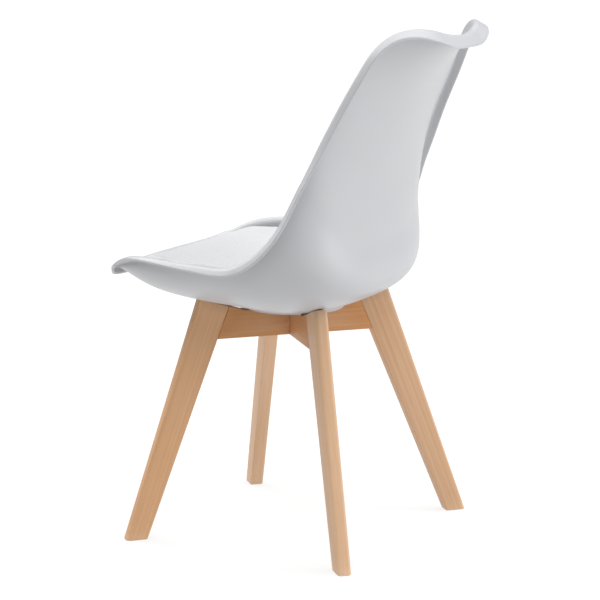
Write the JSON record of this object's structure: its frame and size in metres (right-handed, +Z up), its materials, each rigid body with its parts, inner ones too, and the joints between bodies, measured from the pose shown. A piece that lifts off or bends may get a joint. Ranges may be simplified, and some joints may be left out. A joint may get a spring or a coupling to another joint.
{
  "type": "dining chair",
  "caption": "Dining chair: moulded bucket shell with a rolled lip and padded seat on splayed tapered wooden legs joined by crossed rails.",
  "frame": {"origin": "centre of the chair's footprint box on the floor", "axes": "+Z up, -Y toward the front of the seat, +X toward the sitter's left"},
  "size_m": [0.4978, 0.5513, 0.821],
  "materials": {
    "shell_plastic": "satin white polypropylene with a fine moulded texture",
    "pad_cover": "white artificial leather over foam",
    "beech": "clear matt lacquer on steamed beech",
    "dowel_wood": "bare beech",
    "zinc": "zinc plated",
    "brass": "machined"
  },
  "bodies": {
    "root": {"seat_shell": "shell_plastic", "seat_pad": "pad_cover", "front_left_leg": "beech", "front_right_leg": "beech", "rear_left_leg": "beech", "rear_right_leg": "beech", "rail_lower": "beech", "rail_upper": "beech", "front_left_dowel_lower": "dowel_wood", "front_left_dowel_upper": "dowel_wood", "front_right_dowel_lower": "dowel_wood", "front_right_dowel_upper": "dowel_wood", "rear_left_dowel_lower": "dowel_wood", "rear_left_dowel_upper": "dowel_wood", "rear_right_dowel_lower": "dowel_wood", "rear_right_dowel_upper": "dowel_wood", "front_left_bolt": "zinc", "front_left_washer": "zinc", "front_left_insert": "brass", "front_right_bolt": "zinc", "front_right_washer": "zinc", "front_right_insert": "brass", "rear_left_bolt": "zinc", "rear_left_washer": "zinc", "rear_left_insert": "brass", "rear_right_bolt": "zinc", "rear_right_washer": "zinc", "rear_right_insert": "brass"}
  },
  "joints": []
}
